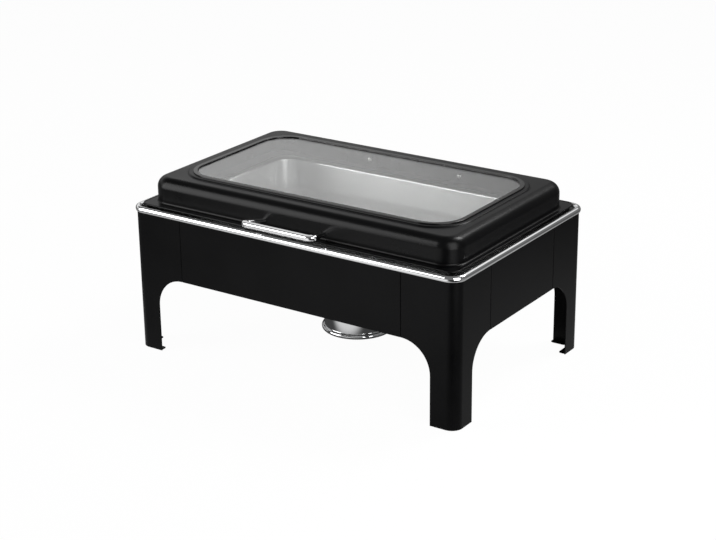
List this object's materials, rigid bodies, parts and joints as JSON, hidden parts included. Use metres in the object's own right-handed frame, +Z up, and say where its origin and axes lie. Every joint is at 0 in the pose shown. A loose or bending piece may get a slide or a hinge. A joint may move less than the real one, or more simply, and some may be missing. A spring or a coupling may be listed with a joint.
{
  "type": "chafing dish",
  "caption": "Rectangular chafing dish: black sheet stand on legs, bright water and food pans, hinged domed lid with a glass window and bow handle, and a hanging fuel burner.",
  "frame": {"origin": "middle of the outline in X and Y, at the table under the feet", "axes": "+X to the right seen from the handle side, -Y towards the handle, +Z up"},
  "size_m": [0.607, 0.432, 0.2878],
  "materials": {
    "black_paint": "smooth satin black coating on sheet steel",
    "bright_chrome": "mirror bright",
    "pan_steel": "softly polished stainless",
    "fastener_steel": "plain bright steel",
    "fitting_steel": "plain stainless",
    "window_glass": "clear toughened glass",
    "seal_rubber": "matt black silicone",
    "knob_plastic": "matt black heat-proof moulding"
  },
  "bodies": {
    "stand": {"leg_front_left": "black_paint", "leg_front_right": "black_paint", "leg_back_left": "black_paint", "leg_back_right": "black_paint", "panel_front": "black_paint", "panel_back": "black_paint", "panel_left": "black_paint", "panel_right": "black_paint", "seam_bolts": "fastener_steel", "seam_nuts": "fastener_steel", "water_pan": "bright_chrome", "burner_bracket": "fitting_steel", "bracket_screws": "fastener_steel", "bracket_nuts": "fastener_steel", "hinge_base": "fitting_steel", "hinge_base_screws": "fastener_steel", "hinge_base_nuts": "fastener_steel", "damper_cylinder": "fitting_steel"},
    "food_pan": {"food_pan": "pan_steel"},
    "lid": {"lid_shell": "black_paint", "lid_glass": "window_glass", "window_gasket": "seal_rubber", "lid_handle": "bright_chrome", "handle_screws": "fastener_steel", "hinge_arm_left": "fitting_steel", "hinge_arm_right": "fitting_steel", "hinge_shaft": "fitting_steel", "shaft_clips": "fastener_steel", "arm_screws": "fastener_steel", "lid_bumpers": "seal_rubber"},
    "burner": {"burner_bowl": "bright_chrome", "fuel_cup": "fitting_steel", "burner_cover": "bright_chrome", "damper_rivet": "fastener_steel"},
    "burner_damper": {"damper_plate": "fitting_steel", "damper_knob": "knob_plastic"}
  },
  "joints": [
    {"name": "food_pan_lift", "type": "slide", "parent": "stand", "child": "food_pan", "axis": [0, 0, 1], "range_m": [0, 0.03]},
    {"name": "lid_hinge", "type": "hinge", "parent": "stand", "child": "lid", "pos_m": [0, 0.204, 0.2495], "axis": [-1, 0, 0], "range_deg": [0, 90]},
    {"name": "burner_lift", "type": "slide", "parent": "stand", "child": "burner", "axis": [0, 0, 1], "range_m": [0, 0.04]},
    {"name": "burner_damper_swivel", "type": "hinge", "parent": "burner", "child": "burner_damper", "pos_m": [0.042, 0, 0.092], "axis": [0, 0, 1], "range_deg": [0, 75]}
  ]
}
